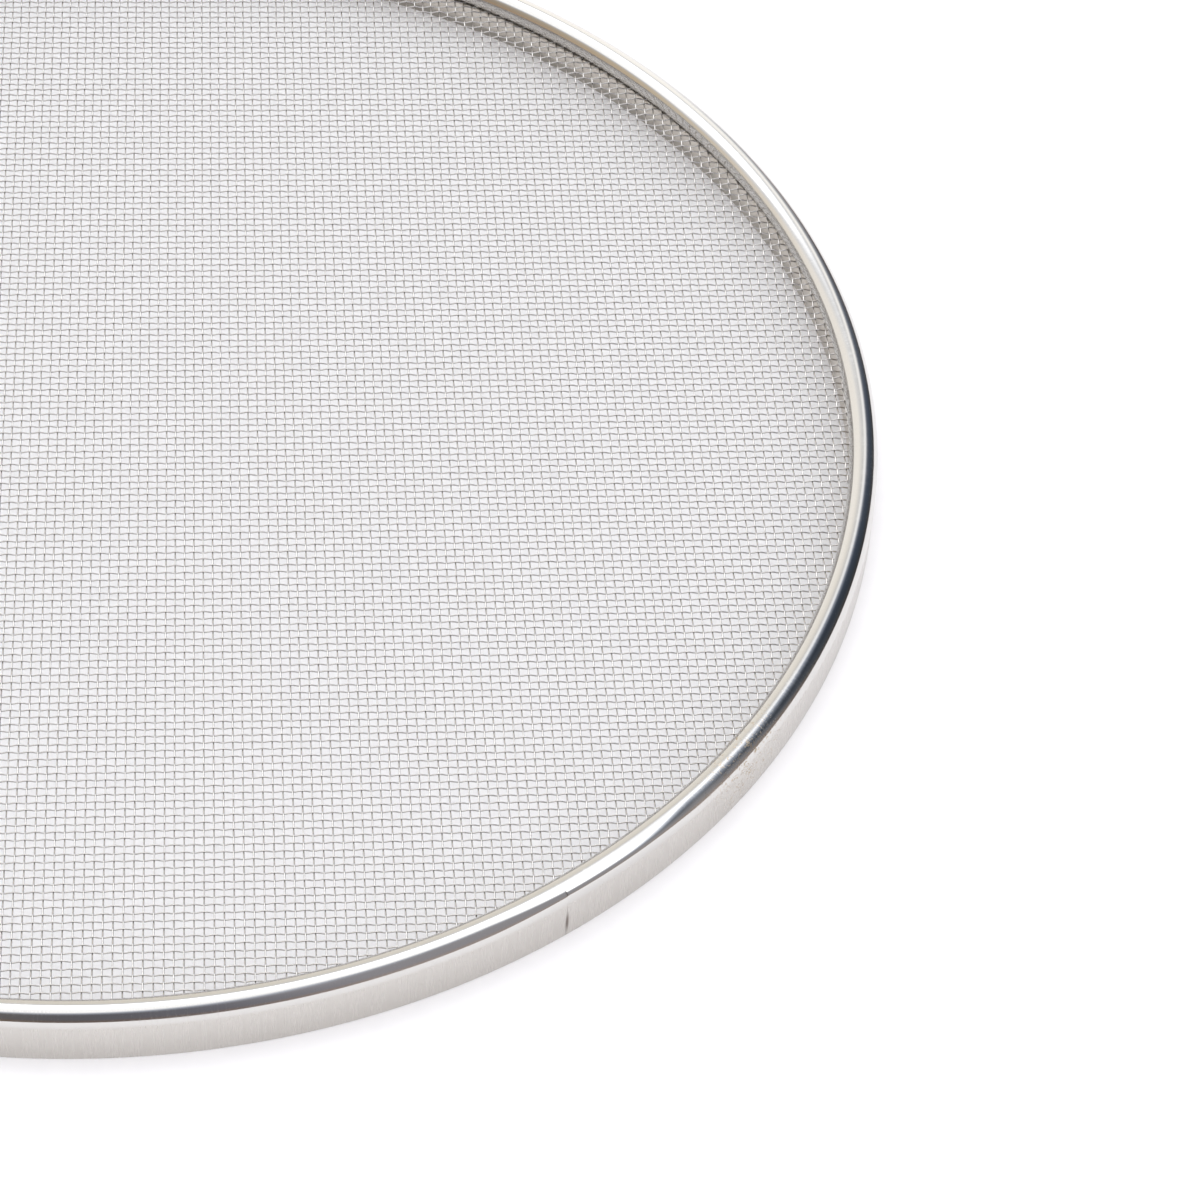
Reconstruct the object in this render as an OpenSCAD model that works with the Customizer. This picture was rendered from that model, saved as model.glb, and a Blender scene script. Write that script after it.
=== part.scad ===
// Flat round sieve: woven wire cloth held in a low hoop with a rolled top edge.
// Millimetres, +Z up, the origin is the centre of the footprint on the table.
// The warp wires run along Y and the weft wires along X.

/* [Rim] */
// Outside diameter of the rim
rim_d = 220; // [120:1:400]
// Height from the table to where the rolled edge begins
band_h = 6.3; // [5:0.1:20]
// Thickness of the rim strip
strip_t = 0.5; // [0.3:0.05:0.9]
// Radius of the rolled edge, over its outside
roll_r = 2.0; // [1.4:0.05:4]
// How far round the strip is rolled, from straight up to under itself
roll_turn = 225; // [190:1:235]
// Radius of the deburred bottom edge of the strip
edge_r = 0.15; // [0.05:0.01:0.2]

/* [Rim seam] */
// Direction of the butt joint of the strip, seen from above
seam_dir = -56.6; // [-180:0.1:180]
// Width of the open line that is left of the joint
seam_w = 0.15; // [0.05:0.01:0.5]
// Depth of that line in the strip
seam_depth = 0.2; // [0.05:0.01:0.25]

/* [Clamping] */
// Clearance of the round wire inside the roll
core_play = 0.05; // [0.02:0.01:0.2]
// Thickness of the inner hoop's strip
hoop_t = 0.5; // [0.3:0.05:0.9]
// Clearance between the inner hoop and the rim
hoop_play = 0.05; // [0.02:0.01:0.2]
// Clearance of the cloth between the hoop and the round wire
cloth_play = 0.02; // [0.01:0.01:0.1]
// Distance from the wire ends to the rim strip
end_gap = 0.5; // [0.2:0.05:1]

/* [Wire cloth] */
// Diameter of the cloth's wires
wire_d = 0.22; // [0.1:0.01:0.5]
// Spacing of the cloth's warp wires
warp_pitch = 1.2775; // [1:0.0005:4]
// Spacing of the cloth's weft wires
weft_pitch = 1.2385; // [1:0.0005:4]
// The cloth is drawn as an open net, with a flat strand in place of this many wires
wires_per_strand = 10; // [10:1:20]

/* [Hidden] */
$fn = 180;

rim_r = rim_d / 2;
roll_inner_r = roll_r - strip_t;
// Centre line of the roll
roll_mid_r = rim_r - roll_r;
core_r = roll_inner_r - core_play;
// The cloth lies under the round wire and on the hoop's web, and cloth_z is its middle
cloth_top_z = band_h - core_r - cloth_play;
cloth_z = cloth_top_z - wire_d;
web_top_z = cloth_top_z - 2 * wire_d - cloth_play;
// The visible inner wall stands just under the lip of the roll
lip_out = roll_r * cos(roll_turn);
hoop_inner_r = roll_mid_r + lip_out - hoop_play;
hoop_outer_r = rim_r - strip_t - hoop_play;
cloth_r = rim_r - strip_t - end_gap;
// A strand is as thick as a wire and as heavy as the wires that it stands for
strand_w = wires_per_strand * PI / 4 * wire_d;
// A cut that is open to one side runs past the solid by this much
over = 1;

// Section of the roll: a ring that is cut open under its inner side
module roll_section() {
    far = 3 * roll_r;
    difference() {
        circle(r = roll_r);
        circle(r = roll_inner_r);
        polygon([
            [0, 0],
            [far * cos(roll_turn), far * sin(roll_turn)],
            [-far, -far],
            [far, -far],
            [far, 0]
        ]);
    }
}

// Section of the rim strip: a straight band with its top edge rolled inwards
module rim_section() {
    translate([rim_r - strip_t, edge_r]) square([strip_t, band_h - edge_r]);
    translate([rim_r - strip_t + edge_r, 0]) square([strip_t - 2 * edge_r, edge_r]);
    for (x = [rim_r - strip_t + edge_r, rim_r - edge_r])
        translate([x, edge_r]) circle(r = edge_r, $fn = 24);
    translate([roll_mid_r, band_h]) roll_section($fn = 64);
}

// Steel strip, bent to a hoop, butt welded and rolled over at the top
module outer_rim() {
    color([0.80, 0.79, 0.77])
    difference() {
        rotate_extrude() rim_section();
        rotate([0, 0, seam_dir])
            translate([rim_r - seam_depth, -seam_w / 2, -over])
                cube([seam_depth + over, seam_w, band_h + over]);
    }
}

// Round wire that stiffens the rolled edge and presses on the cloth
module core_wire() {
    color([0.62, 0.62, 0.63])
    rotate_extrude() translate([roll_mid_r, band_h]) circle(r = core_r, $fn = 32);
}

// Channel pressed into the rim from below: the cloth lies on its web
module inner_hoop() {
    color([0.72, 0.70, 0.67])
    rotate_extrude() {
        translate([hoop_inner_r, 0]) square([hoop_t, web_top_z]);
        translate([hoop_outer_r - hoop_t, 0]) square([hoop_t, web_top_z]);
        translate([hoop_inner_r, web_top_z - hoop_t]) square([hoop_outer_r - hoop_inner_r, hoop_t]);
    }
}

// Straight strands along Y, each cut off inside the roll
module strand_layer(pitch) {
    side_count = floor((cloth_r - strand_w) / pitch);
    for (i = [-side_count : side_count]) {
        x = i * pitch;
        half = sqrt(pow(cloth_r, 2) - pow(abs(x) + strand_w / 2, 2));
        translate([x - strand_w / 2, -half, 0]) cube([strand_w, 2 * half, wire_d]);
    }
}

// Upper layer of the cloth
module warp_wires() {
    color([0.66, 0.65, 0.64])
    translate([0, 0, cloth_z]) strand_layer(wires_per_strand * warp_pitch);
}

// Lower layer of the cloth
module weft_wires() {
    color([0.60, 0.60, 0.60])
    translate([0, 0, cloth_z - wire_d]) rotate([0, 0, 90]) strand_layer(wires_per_strand * weft_pitch);
}

outer_rim();
core_wire();
inner_hoop();
warp_wires();
weft_wires();
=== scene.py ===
import math
import random

import bpy
import numpy as np
from mathutils import Matrix, Vector


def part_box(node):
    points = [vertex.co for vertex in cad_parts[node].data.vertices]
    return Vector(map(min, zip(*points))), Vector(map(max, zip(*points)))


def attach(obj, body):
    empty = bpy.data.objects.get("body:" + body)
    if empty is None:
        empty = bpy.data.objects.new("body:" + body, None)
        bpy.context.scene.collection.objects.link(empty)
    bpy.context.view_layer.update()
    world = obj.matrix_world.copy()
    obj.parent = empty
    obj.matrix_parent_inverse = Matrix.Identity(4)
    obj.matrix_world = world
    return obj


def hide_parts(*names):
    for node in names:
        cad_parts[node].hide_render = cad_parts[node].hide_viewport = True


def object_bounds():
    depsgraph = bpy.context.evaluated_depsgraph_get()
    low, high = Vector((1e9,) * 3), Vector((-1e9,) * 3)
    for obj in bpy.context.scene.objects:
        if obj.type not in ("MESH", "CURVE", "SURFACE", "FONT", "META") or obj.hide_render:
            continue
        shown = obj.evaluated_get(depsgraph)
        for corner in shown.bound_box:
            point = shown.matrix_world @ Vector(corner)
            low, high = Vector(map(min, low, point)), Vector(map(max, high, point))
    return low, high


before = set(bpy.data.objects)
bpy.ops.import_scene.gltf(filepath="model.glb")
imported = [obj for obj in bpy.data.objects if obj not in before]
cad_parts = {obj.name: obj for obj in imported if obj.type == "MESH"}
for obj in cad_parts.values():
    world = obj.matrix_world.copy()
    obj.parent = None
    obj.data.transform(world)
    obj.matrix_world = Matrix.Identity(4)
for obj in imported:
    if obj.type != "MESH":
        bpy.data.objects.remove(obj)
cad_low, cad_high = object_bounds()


# The rim is one stainless strip, 0.5 mm thick, bent to a hoop and butt welded, then rolled over at the top.
# The roll is polished on a mop; the short band under it keeps fine upright grinding lines. Near the weld the
# strip springs back, so the roll has a squarer shoulder there and a small step where the two ends meet.
MM = 0.001
rim_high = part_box("outer_rim")[1]
rim_r = rim_high.x
strip_t = 0.5 * MM
roll_r = 2.0 * MM
roll_turn = math.radians(225)
roll_start_z = rim_high.z - roll_r
roll_mid_r = rim_r - roll_r
foot_r = 0.15 * MM
seam_dir = math.radians(-56.6)
seam_half = 0.075 * MM
seam_depth = 0.2 * MM
# The squarer shoulder, in degrees round the rim from the weld: full up to the first, gone at the second, and
# on the other side of the weld lower and gone sooner
spring_full = 5.5
spring_end = 12.5
low_spring_end = 6.0
low_spring = 0.45
low_spring_fall = 1.3
# How much the shoulder's superellipse power grows from the 2 of a circle
spring_power = 2.2
band_steps = 5
over_steps = 60
back_steps = 24
rim_steps = 720


def node(tree, kind, links=None, **settings):
    """Adds a shader node with its settings; links maps an input to a value or to another node's output."""
    made = tree.nodes.new(kind)
    for key, value in settings.items():
        setattr(made, key, value)
    for key, value in (links or {}).items():
        if isinstance(value, bpy.types.NodeSocket):
            tree.links.new(value, made.inputs[key])
        else:
            made.inputs[key].default_value = value
    return made


def linear(hex_colour):
    """sRGB hex to a linear RGBA colour."""
    parts = [int(hex_colour[i:i + 2], 16) / 255 for i in (1, 3, 5)]
    return [c / 12.92 if c <= 0.04045 else ((c + 0.055) / 1.055) ** 2.4 for c in parts] + [1.0]


def new_material(name):
    """A material with only its output node."""
    made = bpy.data.materials.new(name)
    made.use_nodes = True
    made.node_tree.nodes.clear()
    return made, made.node_tree, made.node_tree.nodes.new("ShaderNodeOutputMaterial")


def finish_piece(name, verts, faces, material, cad_node, coords=None):
    """A mesh object from arrays, on the one body, with its millimetres along and across as a UV map."""
    mesh = bpy.data.meshes.new(name)
    verts = np.asarray(verts, np.float32)
    faces = np.asarray(faces, np.int32)
    mesh.vertices.add(len(verts))
    mesh.vertices.foreach_set("co", verts.ravel())
    mesh.loops.add(faces.size)
    mesh.loops.foreach_set("vertex_index", faces.ravel())
    mesh.polygons.add(len(faces))
    mesh.polygons.foreach_set("loop_start", np.arange(len(faces)) * faces.shape[1])
    if coords is not None:
        mesh.uv_layers.new(name="along").data.foreach_set("uv", np.asarray(coords, np.float32).ravel())
    mesh.update(calc_edges=True)
    mesh.validate()
    mesh.shade_smooth()
    mesh.materials.append(material)
    piece = bpy.data.objects.new(name, mesh)
    bpy.context.scene.collection.objects.link(piece)
    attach(piece, "root")
    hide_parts(cad_node)


def lathe(sections, angles):
    """Closed ring from one closed section per angle: verts, quads, and the arc lengths as coordinates."""
    sections = np.asarray(sections)
    turns, points = sections.shape[:2]
    rho = sections[..., 0]
    z = sections[..., 1]
    verts = np.stack([rho * np.cos(angles)[:, None], rho * np.sin(angles)[:, None], z], -1).reshape(-1, 3)
    i, k = np.meshgrid(np.arange(turns), np.arange(points), indexing="ij")
    next_i = (i + 1) % turns
    next_k = (k + 1) % points
    quad = [i * points + k, next_i * points + k, next_i * points + next_k, i * points + next_k]
    step = np.hypot(*np.diff(np.vstack([sections[0], sections[0][:1]]), axis=0).T)
    across = np.concatenate([[0], np.cumsum(step)]) / MM
    around = np.append(angles, angles[0] + math.tau) * rim_r / MM
    corners = [(i, k), (i + 1, k), (i + 1, k + 1), (i, k + 1)]
    coords = np.stack([np.stack([around[a], across[b]], -1) for a, b in corners], 2)
    return verts, np.stack(quad, -1).reshape(-1, 4), coords.reshape(-1, 2)


def from_seam(angle):
    """Angle past the weld, from minus half a turn to half a turn."""
    return (angle - seam_dir + math.pi) % math.tau - math.pi


def seam_spring(angle):
    """How far the shoulder is out of round, from 0 to 1, either side of the weld."""
    off = math.degrees(from_seam(angle))
    if off >= 0:
        t = min(max((spring_end - off) / (spring_end - spring_full), 0.0), 1.0)
        return t * t * (3 - 2 * t)
    return low_spring * max(0.0, 1 + off / low_spring_end) ** low_spring_fall


def roll_point(turn, radius, spring):
    """Point of the roll's section; the outer shoulder near the weld is squarer than round."""
    power = 2 + spring_power * spring if turn < math.pi / 2 else 2
    r = radius * (abs(math.cos(turn)) ** power + abs(math.sin(turn)) ** power) ** (-1 / power)
    return [roll_mid_r + r * math.cos(turn), roll_start_z + r * math.sin(turn)]


def rim_section(angle):
    """Closed section of the strip: up the outside, over the roll, back inside it and down the inner face."""
    spring = seam_spring(angle)
    groove = seam_depth * max(0.0, 1 - abs(from_seam(angle)) * rim_r / seam_half)
    band = [foot_r + (roll_start_z - foot_r) * t / band_steps for t in range(band_steps)]
    corner = [math.radians(a) for a in (-90, -67, -45, -22)]
    outer_foot = [[rim_r - foot_r + foot_r * math.cos(a), foot_r + foot_r * math.sin(a)] for a in corner]
    outer = outer_foot + [[rim_r - groove, z] for z in band]
    over = [roll_point(roll_turn * t / over_steps, roll_r, spring) for t in range(over_steps + 1)]
    back = [roll_point(roll_turn * t / back_steps, roll_r - strip_t, 0) for t in range(back_steps, -1, -1)]
    inner = [[rim_r - strip_t, z] for z in reversed(band)]
    inner_foot = [[rim_r - strip_t + foot_r - foot_r * math.cos(a), foot_r + foot_r * math.sin(a)]
                  for a in reversed(corner)]
    return outer + over + back + inner + inner_foot


# Sections stand close together across the open line of the weld, and evenly elsewhere
seam_angles = [seam_dir + s * seam_half / rim_r for s in (-3, -1, -0.4, 0.4, 1, 3)]
even_angles = [seam_dir + math.tau * (t + 0.5) / rim_steps for t in range(rim_steps)]
rim_angles = np.unique(seam_angles + even_angles)
verts, quads, coords = lathe([rim_section(a) for a in rim_angles], rim_angles)

# Polished 18/10 stainless steel: a near mirror on the roll, with faint lines across it from the mop, and a
# duller ground band below. Real lines are about 0.1 mm apart and are drawn 0.25 mm apart so that they show.
# The noises are in cells per millimetre, round the rim and across its strip.
rim_steel, tree, output = new_material("polished_stainless_rim")
line_cells = (4.0, 0.12, 1.0)
patch_cells = (0.06, 0.1, 1.0)
stroke_cells = 1.1
place = node(tree, "ShaderNodeUVMap", uv_map="along")
object_place = node(tree, "ShaderNodeTexCoord")
height = node(tree, "ShaderNodeSeparateXYZ", {0: object_place.outputs["Object"]})
on_roll = node(tree, "ShaderNodeMapRange", {
    "Value": height.outputs["Z"], "From Min": roll_start_z - 0.3 * MM, "From Max": roll_start_z + 0.4 * MM,
}, interpolation_type="SMOOTHSTEP")
line_scale = node(tree, "ShaderNodeVectorMath", {0: place.outputs["UV"], 1: line_cells},
                  operation="MULTIPLY")
lines = node(tree, "ShaderNodeTexNoise", {"Vector": line_scale.outputs[0], "Scale": 1.0, "Detail": 3.0})
patch_scale = node(tree, "ShaderNodeVectorMath", {0: place.outputs["UV"], 1: patch_cells},
                   operation="MULTIPLY")
patches = node(tree, "ShaderNodeTexNoise", {"Vector": patch_scale.outputs[0], "Scale": 1.0, "Detail": 2.0})
mop_rough = node(tree, "ShaderNodeMapRange", {
    "Value": patches.outputs["Fac"], "From Min": 0.4, "From Max": 0.65, "To Min": 0.1, "To Max": 0.26})
roll_rough = node(tree, "ShaderNodeMapRange", {
    "Value": lines.outputs["Fac"], "From Min": 0.42, "From Max": 0.62,
    "To Min": 0.05, "To Max": mop_rough.outputs[0]})
band_rough = node(tree, "ShaderNodeMapRange", {
    "Value": lines.outputs["Fac"], "From Min": 0.3, "From Max": 0.7, "To Min": 0.22, "To Max": 0.3})
clean_rough = node(tree, "ShaderNodeMix", {0: on_roll.outputs[0], 2: band_rough.outputs[0],
                                           3: roll_rough.outputs[0]})
band_tone = node(tree, "ShaderNodeMix", {
    0: lines.outputs["Fac"], 6: linear("#c8c4bf"), 7: linear("#d2cfca")}, data_type="RGBA")
clean_tone = node(tree, "ShaderNodeMix", {
    0: on_roll.outputs[0], 6: band_tone.outputs[2], 7: linear("#d0cecb")}, data_type="RGBA")

# Dull, warm scuffs lie on the roll about 35 mm to the right of the weld, denser towards their middle
scuff_dir = math.radians(-38.5)
scuff_place = (rim_r * math.cos(scuff_dir), rim_r * math.sin(scuff_dir), 1.18 * roll_start_z)
scuff_off = node(tree, "ShaderNodeVectorMath", {0: object_place.outputs["Object"], 1: scuff_place},
                 operation="DISTANCE")
scuff_area = node(tree, "ShaderNodeMapRange", {
    "Value": scuff_off.outputs["Value"], "From Min": 2 * MM, "From Max": 11 * MM, "To Min": 1.0, "To Max": 0.0})
strokes = node(tree, "ShaderNodeTexNoise", {
    "Vector": place.outputs["UV"], "Scale": stroke_cells, "Detail": 1.0, "Distortion": 2.5})
stroke = node(tree, "ShaderNodeMapRange", {
    "Value": strokes.outputs["Fac"], "From Min": 0.6, "From Max": 0.66})
scuffed = node(tree, "ShaderNodeMath", {0: stroke.outputs[0], 1: scuff_area.outputs[0]},
               operation="MULTIPLY")
rough = node(tree, "ShaderNodeMix", {0: scuffed.outputs[0], 2: clean_rough.outputs[0], 3: 0.5})
tone = node(tree, "ShaderNodeMix", {0: scuffed.outputs[0], 6: clean_tone.outputs[2], 7: linear("#b7a893")},
            data_type="RGBA")

# The weld leaves a narrow upright brown mark on the band
weld_place = (rim_r * math.cos(seam_dir), rim_r * math.sin(seam_dir), 0.42 * roll_start_z)
weld_stretch = (1.0, 1.0, 0.14)
weld_off = node(tree, "ShaderNodeVectorMath", {0: object_place.outputs["Object"], 1: weld_place},
                operation="SUBTRACT")
weld_long = node(tree, "ShaderNodeVectorMath", {0: weld_off.outputs[0], 1: weld_stretch},
                 operation="MULTIPLY")
weld_away = node(tree, "ShaderNodeVectorMath", {0: weld_long.outputs[0]}, operation="LENGTH")
weld = node(tree, "ShaderNodeMapRange", {
    "Value": weld_away.outputs["Value"], "From Min": 0.12 * MM, "From Max": 0.34 * MM,
    "To Min": 0.75, "To Max": 0.0})
weld_tone = node(tree, "ShaderNodeMix", {0: weld.outputs[0], 6: tone.outputs[2], 7: linear("#5b4a40")},
                 data_type="RGBA")
line_height = node(tree, "ShaderNodeBump", {
    "Height": lines.outputs["Fac"], "Strength": 0.12, "Distance": 0.02 * MM})
metal = node(tree, "ShaderNodeBsdfPrincipled", {
    "Base Color": weld_tone.outputs[2], "Metallic": 1.0, "Roughness": rough.outputs[0],
    "Normal": line_height.outputs[0]})
tree.links.new(metal.outputs[0], output.inputs[0])
finish_piece("rim_strip", verts, quads, rim_steel, "outer_rim", coords)


# The core wire is drawn stainless wire bent to a ring. It fills the roll and presses the cloth on the hoop;
# only its under side can be seen, through the slit below the lip.
# Drawn stainless: satin, with a fine grain from the die, drawn about 1 mm long so that it shows.
drawn_steel, tree, output = new_material("drawn_stainless_core")
core_cells_per_metre = 900.0
place = node(tree, "ShaderNodeTexCoord")
grain = node(tree, "ShaderNodeTexNoise", {
    "Vector": place.outputs["Object"], "Scale": core_cells_per_metre, "Detail": 2.0})
tone = node(tree, "ShaderNodeMix", {0: grain.outputs["Fac"], 6: linear("#b9b8b6"), 7: linear("#d2d1cf")},
            data_type="RGBA")
rough = node(tree, "ShaderNodeMapRange", {"Value": grain.outputs["Fac"], "To Min": 0.25, "To Max": 0.45})
grain_height = node(tree, "ShaderNodeBump", {
    "Height": grain.outputs["Fac"], "Strength": 0.1, "Distance": 0.02 * MM})
metal = node(tree, "ShaderNodeBsdfPrincipled", {
    "Base Color": tone.outputs[2], "Metallic": 1.0, "Roughness": rough.outputs[0],
    "Normal": grain_height.outputs[0]})
tree.links.new(metal.outputs[0], output.inputs[0])
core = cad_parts["core_wire"]
core.data.materials.clear()
core.data.materials.append(drawn_steel)


# The inner hoop is a channel of mill-finish stainless strip, pressed into the rim from below. The cloth lies
# on its web, and its inner wall is what shows through the cloth at the far side.
hoop_low, hoop_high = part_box("inner_hoop")
hoop_t = 0.5 * MM
hoop_play = 0.05 * MM
hoop_outer_r = hoop_high.x
hoop_inner_r = roll_mid_r + roll_r * math.cos(roll_turn) - hoop_play
hoop_bend = 0.3 * MM
hoop_steps = 360


def hoop_section():
    """Closed section of the channel, open below, with bent upper corners."""
    corner = [math.radians(a) for a in (0, 30, 60, 90)]
    foot = hoop_low.z
    top = hoop_high.z
    points = [[hoop_outer_r, foot], [hoop_outer_r, top / 2]]
    points += [[hoop_outer_r - hoop_bend + hoop_bend * math.cos(a), top - hoop_bend + hoop_bend * math.sin(a)]
               for a in corner]
    points += [[hoop_inner_r + hoop_bend - hoop_bend * math.sin(a), top - hoop_bend + hoop_bend * math.cos(a)]
               for a in corner]
    points += [[hoop_inner_r, top / 2], [hoop_inner_r, foot], [hoop_inner_r + hoop_t, foot]]
    points += [[hoop_inner_r + hoop_t, top - hoop_t], [hoop_outer_r - hoop_t, top - hoop_t]]
    return points + [[hoop_outer_r - hoop_t, foot]]


hoop_angles = np.linspace(0, math.tau, hoop_steps, endpoint=False)
verts, quads, coords = lathe([hoop_section()] * hoop_steps, hoop_angles)

# Mill-finish stainless: dull, slightly warm, with rolling marks along the strip. They are drawn 0.2 mm apart,
# coarser than real ones, in cells per millimetre round the hoop and across its strip.
mill_steel, tree, output = new_material("mill_finish_hoop")
rolling_cells = (0.15, 5.0, 1.0)
place = node(tree, "ShaderNodeUVMap", uv_map="along")
line_scale = node(tree, "ShaderNodeVectorMath", {0: place.outputs["UV"], 1: rolling_cells},
                  operation="MULTIPLY")
lines = node(tree, "ShaderNodeTexNoise", {"Vector": line_scale.outputs[0], "Scale": 1.0, "Detail": 3.0})
tone = node(tree, "ShaderNodeMix", {0: lines.outputs["Fac"], 6: linear("#cfc8bf"), 7: linear("#e0dad2")},
            data_type="RGBA")
rough = node(tree, "ShaderNodeMapRange", {"Value": lines.outputs["Fac"], "To Min": 0.28, "To Max": 0.42})
line_height = node(tree, "ShaderNodeBump", {
    "Height": lines.outputs["Fac"], "Strength": 0.1, "Distance": 0.02 * MM})
metal = node(tree, "ShaderNodeBsdfPrincipled", {
    "Base Color": tone.outputs[2], "Metallic": 1.0, "Roughness": rough.outputs[0],
    "Normal": line_height.outputs[0]})
tree.links.new(metal.outputs[0], output.inputs[0])
finish_piece("hoop_channel", verts, quads, mill_steel, "inner_hoop", coords)


# The cloth is plain weave, 20 wires to the inch, of drawn stainless wire 0.22 mm thick: each wire goes over
# one wire and under the next, and is bent to that shape. The spacing wanders a little, as in any woven cloth.
cloth_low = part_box("weft_wires")[0]
cloth_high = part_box("warp_wires")[1]
cloth_z = (cloth_low.z + cloth_high.z) / 2
wire_d = (cloth_high.z - cloth_low.z) / 2
end_gap = 0.5 * MM
cloth_r = rim_r - strip_t - end_gap
warp_pitch = 1.2775 * MM
weft_pitch = 1.2385 * MM
warp_shift = 0.25 * MM
weft_shift = -0.28 * MM
# The share of the spacing by which each wire strays, and how much of its stray the next wire keeps
stray = 0.03
stray_kept = 0.8
spacing = random.Random(20)
wire_sides = 6
end_caps = np.array([[0, 1, 2, 3], [0, 3, 4, 5]])
steps_per_crossing = 4
# Wires of one piece: more would take it past 200,000 triangles
bundle = 22


def wire_places(pitch, shift):
    """Places of the wires of one direction, with a slow and a quick wander about their even spacing."""
    count = int((cloth_r - 2 * wire_d) / pitch)
    drift = 0.0
    made = []
    for i in range(-count, count + 1):
        drift = stray_kept * drift + spacing.uniform(-stray, stray) * pitch
        made.append(i * pitch + drift + shift)
    return count, np.array(made)


warp_count, warp_places = wire_places(warp_pitch, warp_shift)
weft_count, weft_places = wire_places(weft_pitch, weft_shift)

# Drawn stainless wire: bright and nearly smooth, with a faint grain from the die, drawn over about 1.5 mm so
# that it shows.
wire_steel, tree, output = new_material("drawn_stainless_wire")
wire_cells_per_metre = 600.0
place = node(tree, "ShaderNodeTexCoord")
grain = node(tree, "ShaderNodeTexNoise", {
    "Vector": place.outputs["Object"], "Scale": wire_cells_per_metre, "Detail": 1.0})
tone = node(tree, "ShaderNodeMix", {0: grain.outputs["Fac"], 6: linear("#bdbab7"), 7: linear("#cbc9c6")},
            data_type="RGBA")
rough = node(tree, "ShaderNodeMapRange", {"Value": grain.outputs["Fac"], "To Min": 0.11, "To Max": 0.19})
grain_height = node(tree, "ShaderNodeBump", {
    "Height": grain.outputs["Fac"], "Strength": 0.1, "Distance": 0.01 * MM})
metal = node(tree, "ShaderNodeBsdfPrincipled", {
    "Base Color": tone.outputs[2], "Metallic": 1.0, "Roughness": rough.outputs[0],
    "Normal": grain_height.outputs[0]})
tree.links.new(metal.outputs[0], output.inputs[0])


def woven_wire(index, place, others, other_count):
    """Rings of points along one crimped wire at x = place, which crosses the others one over, one under."""
    half = math.sqrt(cloth_r ** 2 - place ** 2)
    first = np.searchsorted(others, -half)
    last = np.searchsorted(others, half) - 1
    crossings = np.arange(first * steps_per_crossing, last * steps_per_crossing + 1) / steps_per_crossing
    along = np.interp(crossings, np.arange(len(others)), others)
    phase = np.pi * (crossings - other_count + index + 1)
    lift = wire_d / 2 * np.cos(phase)
    slope = np.gradient(lift, along)
    flat = 1 / np.hypot(1, slope)
    turn = np.arange(wire_sides) * math.tau / wire_sides
    across = wire_d / 2 * np.cos(turn)
    up = wire_d / 2 * np.sin(turn)
    x = np.broadcast_to(place + across, (len(along), wire_sides))
    y = along[:, None] - up[None, :] * (slope * flat)[:, None]
    z = lift[:, None] + up[None, :] * flat[:, None]
    return np.stack([x, y, z], -1)


def weave(name, count, places, others, other_count, is_weft):
    """Pieces of the cloth, each a bundle of neighbouring wires of one direction; is_weft is 0 or 1."""
    for start in range(0, len(places), bundle):
        verts = []
        faces = []
        base = 0
        for n in range(start, min(start + bundle, len(places))):
            rings = woven_wire(n - count + is_weft, places[n], others, other_count)
            turns = len(rings)
            i, k = np.meshgrid(np.arange(turns - 1), np.arange(wire_sides), indexing="ij")
            here = i * wire_sides
            there = here + wire_sides
            next_k = (k + 1) % wire_sides
            side = np.stack([here + next_k, here + k, there + k, there + next_k], -1)
            faces.append(side.reshape(-1, 4) + base)
            faces.append(end_caps + base)
            faces.append(end_caps[:, ::-1] + base + (turns - 1) * wire_sides)
            verts.append(rings.reshape(-1, 3))
            base += turns * wire_sides
        verts = np.concatenate(verts)
        faces = np.concatenate(faces)
        if is_weft:
            # The weft is made as the warp is, with x and y exchanged and so with its faces turned over
            verts = verts[:, [1, 0, 2]]
            faces = faces[:, ::-1]
        verts = verts + [0, 0, cloth_z]
        finish_piece(f"{name}_{start // bundle + 1}", verts, faces, wire_steel, name)


weave("warp_wires", warp_count, warp_places, weft_places, weft_count, 0)
weave("weft_wires", weft_count, weft_places, warp_places, warp_count, 1)


# A white table top, plain and matt, on which the sieve stands; it reads as white paper, with a soft shadow.
# Painted board: a faint grain of about 2.5 mm.
table_size = 8.0
bpy.ops.mesh.primitive_plane_add(size=table_size, location=(0, 0, cad_low.z))
table = bpy.context.object
table.name = "white_table"
table_white, tree, output = new_material("matt_white_table")
table_cells_per_metre = 400.0
place = node(tree, "ShaderNodeTexCoord")
grain = node(tree, "ShaderNodeTexNoise", {
    "Vector": place.outputs["Object"], "Scale": table_cells_per_metre, "Detail": 2.0})
tone = node(tree, "ShaderNodeMix", {0: grain.outputs["Fac"], 6: linear("#f3f3f4"), 7: linear("#f7f7f7")},
            data_type="RGBA")
matt = node(tree, "ShaderNodeBsdfDiffuse", {"Color": tone.outputs[2]})
tree.links.new(matt.outputs[0], output.inputs[0])
table.data.materials.append(table_white)


# Studio light, as the rolled edge shows it: a large white softbox overhead, a bright backdrop at the far
# side, a cream wall at the left, and the unlit room on the camera's side and at the right, which draws the
# dark stripe along the roll. Matt surfaces get one even, soft light, and the camera itself sees white.
camera_around = math.radians(-7.07)
# The tones below are as the steel shows them, so the light is brighter by what the steel takes away
steel_share = 0.62
white = (1, 1, 1, 1)
even_light = (1.3, 1.285, 1.325, 1)
warm_tint = (1.35, 1.0, 0.7, 1)
warm_top = math.radians(25)
# Angles about the softbox's edge over which it fades in, and over which its blue rim turns to white
box_fade = (math.radians(-15), math.radians(12))
box_rim = (math.radians(-4), math.radians(12))
far_side_gain = 2.4
far_side_y = (0.06, 0.35)
edge_highest = math.radians(90)
edge_gamma = 2.2


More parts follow.
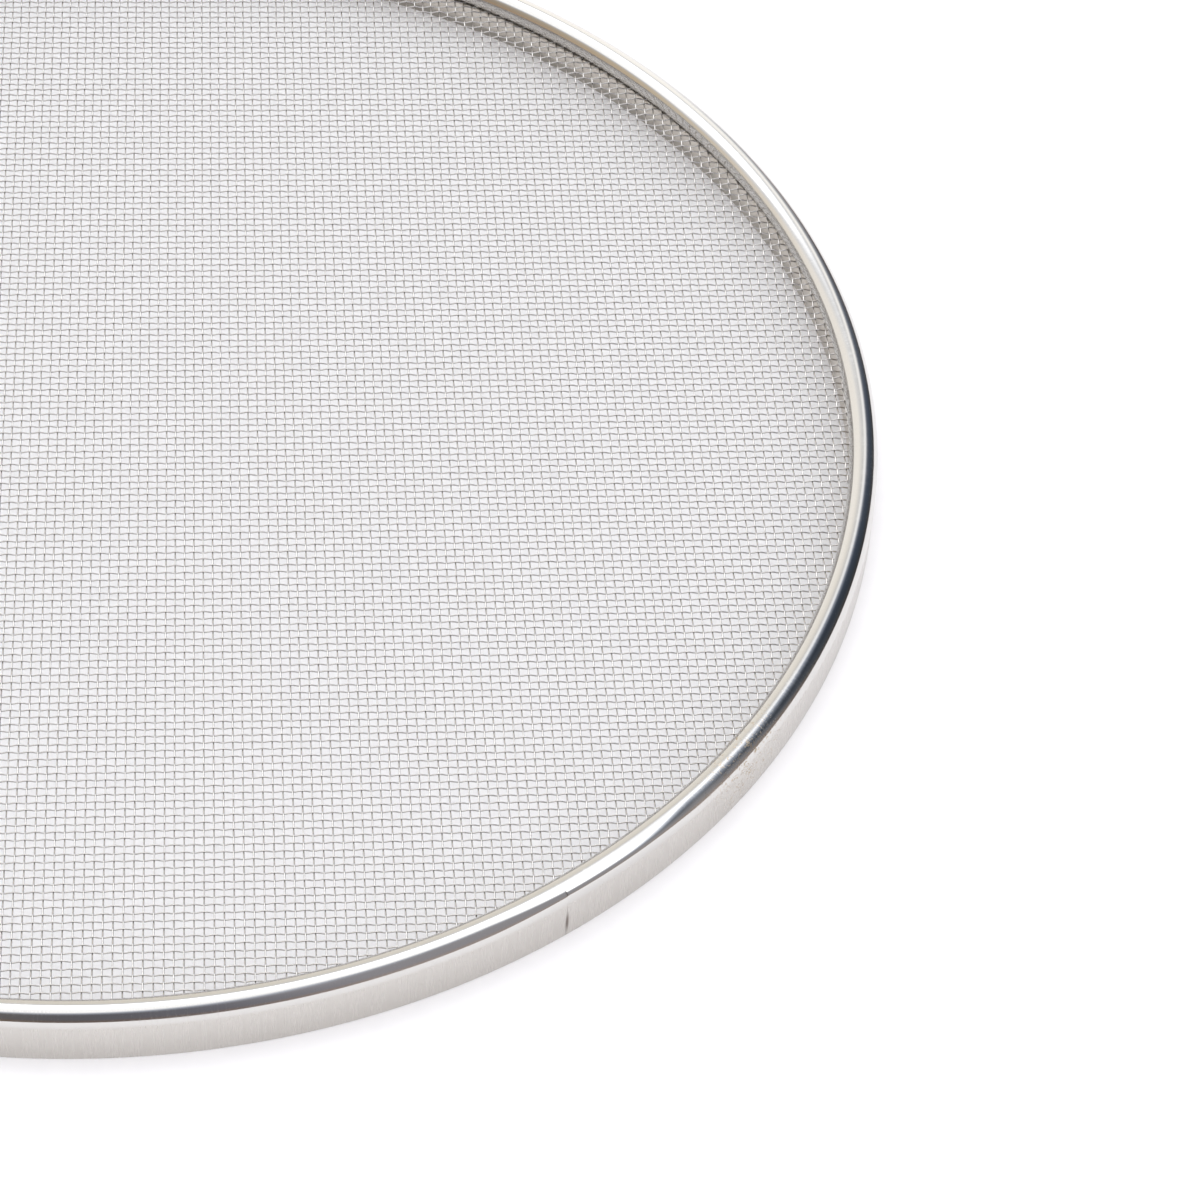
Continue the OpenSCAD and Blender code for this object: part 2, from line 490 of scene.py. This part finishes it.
def azimuth_ramp(tree, turn, stops):
    """Colours by the direction round the horizon, in degrees from the picture's right towards its far side."""
    made = node(tree, "ShaderNodeValToRGB", {0: turn})
    ramp = made.color_ramp
    for degrees, hex_colour in stops[1:-1]:
        ramp.elements.new(degrees / 360 + 0.5).color = linear(hex_colour)
    ramp.elements[0].color = linear(stops[0][1])
    ramp.elements[len(stops) - 1].color = linear(stops[-1][1])
    return made


world = bpy.data.worlds.new("studio")
bpy.context.scene.world = world
world.use_nodes = True
tree = world.node_tree
tree.nodes.clear()
way = node(tree, "ShaderNodeTexCoord")
turned = node(tree, "ShaderNodeVectorRotate", {"Vector": way.outputs["Generated"], "Angle": -camera_around},
              rotation_type="Z_AXIS")
parts = node(tree, "ShaderNodeSeparateXYZ", {0: turned.outputs[0]})
up = node(tree, "ShaderNodeMath", {0: parts.outputs["Z"]}, operation="ARCSINE")
round_about = node(tree, "ShaderNodeMath", {0: parts.outputs["Y"], 1: parts.outputs["X"]},
                   operation="ARCTAN2")
turn = node(tree, "ShaderNodeMath", {0: round_about.outputs[0], 1: 1 / math.tau, 2: 0.5},
            operation="MULTIPLY_ADD")
# What stands round the horizon, below the softbox
low_sky = azimuth_ramp(tree, turn.outputs[0], [
    (-180, "#c8beae"), (-165, "#b4a894"), (-140, "#8d8375"), (-115, "#66625d"), (-88, "#57575c"),
    (-70, "#62626a"), (-50, "#85848a"), (-5, "#8a898c"), (8, "#727378"), (20, "#3f444c"), (35, "#30363f"),
    (55, "#3b4350"), (66, "#565c68"), (73, "#a0a3aa"), (79, "#f6f5f3"), (91, "#f8f5f0"), (97, "#cdc8bf"),
    (125, "#e8e5e0"), (155, "#e3dfd9"), (180, "#c8beae")])
# How high the softbox's edge stands: black is the horizon, white is straight up
softbox_edge = azimuth_ramp(tree, turn.outputs[0], [
    (-180, "#484848"), (-95, "#bbbbbb"), (-30, "#cacaca"), (-8, "#b8b8b8"), (5, "#999999"),
    (45, "#a2a2a2"), (75, "#8f8f8f"), (130, "#808080"), (180, "#484848")])
edge_share = node(tree, "ShaderNodeGamma", {0: softbox_edge.outputs[0], 1: 1 / edge_gamma})
edge_up = node(tree, "ShaderNodeMath", {0: edge_share.outputs[0], 1: edge_highest}, operation="MULTIPLY")
past_edge = node(tree, "ShaderNodeMath", {0: up.outputs[0], 1: edge_up.outputs[0]}, operation="SUBTRACT")
box = node(tree, "ShaderNodeMapRange", {
    "Value": past_edge.outputs[0], "From Min": box_fade[0], "From Max": box_fade[1],
}, interpolation_type="SMOOTHSTEP")
box_white = node(tree, "ShaderNodeMapRange", {
    "Value": past_edge.outputs[0], "From Min": box_rim[0], "From Max": box_rim[1],
}, interpolation_type="SMOOTHSTEP")
softbox = node(tree, "ShaderNodeMix", {0: box_white.outputs[0], 6: linear("#b4bccb"), 7: linear("#fcfdff")},
               data_type="RGBA")
# The dark parts of the room are warm near the horizon
lowness = node(tree, "ShaderNodeMapRange", {
    "Value": up.outputs[0], "From Min": 0.0, "From Max": warm_top, "To Min": 1.0, "To Max": 0.0})
room_dark = node(tree, "ShaderNodeMapRange", {
    "Value": low_sky.outputs[0], "From Min": 0.1, "From Max": 0.45, "To Min": 1.0, "To Max": 0.0})
warm_share = node(tree, "ShaderNodeMath", {0: lowness.outputs[0], 1: room_dark.outputs[0]},
                  operation="MULTIPLY")
room = node(tree, "ShaderNodeMix", {0: warm_share.outputs[0], 6: low_sky.outputs[0], 7: warm_tint},
            data_type="RGBA", blend_type="MULTIPLY")
light = node(tree, "ShaderNodeMix", {0: box.outputs[0], 6: room.outputs[2], 7: softbox.outputs[2]},
             data_type="RGBA")
# The softbox is brighter towards the far side
far_gain = node(tree, "ShaderNodeMapRange", {
    "Value": parts.outputs["Y"], "From Min": far_side_y[0], "From Max": far_side_y[1],
    "To Min": 1.0, "To Max": far_side_gain,
}, interpolation_type="SMOOTHSTEP")
box_gain = node(tree, "ShaderNodeMix", {0: box_white.outputs[0], 2: 1.0, 3: far_gain.outputs[0]})
gain = node(tree, "ShaderNodeMath", {0: box_gain.outputs[0], 1: 1 / steel_share}, operation="MULTIPLY")
bright = node(tree, "ShaderNodeVectorMath", {0: light.outputs[2], "Scale": gain.outputs[0]},
              operation="SCALE")
rays = node(tree, "ShaderNodeLightPath")
soft = node(tree, "ShaderNodeMix", {0: rays.outputs["Diffuse Depth"], 6: bright.outputs[0], 7: even_light},
            data_type="RGBA")
shown = node(tree, "ShaderNodeMix", {0: rays.outputs["Is Camera Ray"], 6: soft.outputs[2], 7: white},
             data_type="RGBA")
glow = node(tree, "ShaderNodeBackground", {"Color": shown.outputs[2], "Strength": 1.0})
node(tree, "ShaderNodeOutputWorld", {0: glow.outputs[0]})


# The camera stands above the near left of the sieve and looks down at its right half, as in the photograph,
# tipped a little to one side.
camera_up = math.radians(46.99)
camera_roll = math.radians(4.467)
camera_distance = 5.1836 * rim_r
aim = Vector((0.6192 * rim_r, -0.3541 * rim_r, roll_start_z))
camera_data = bpy.data.cameras.new("camera")
camera_data.sensor_width = 36.0
camera_data.lens = 125.4
camera_data.clip_start = 0.01
camera = bpy.data.objects.new("camera", camera_data)
bpy.context.scene.collection.objects.link(camera)
bpy.context.scene.camera = camera
back = Vector((math.sin(camera_around) * math.cos(camera_up), -math.cos(camera_around) * math.cos(camera_up),
               math.sin(camera_up)))
right = Vector((0, 0, 1)).cross(back).normalized()
above = back.cross(right)
side = right * math.cos(camera_roll) + above * math.sin(camera_roll)
top = above * math.cos(camera_roll) - right * math.sin(camera_roll)
facing = Matrix((side, top, back)).transposed().to_4x4()
camera.matrix_world = Matrix.Translation(aim + back * camera_distance) @ facing
bpy.context.scene.view_settings.view_transform = "Standard"
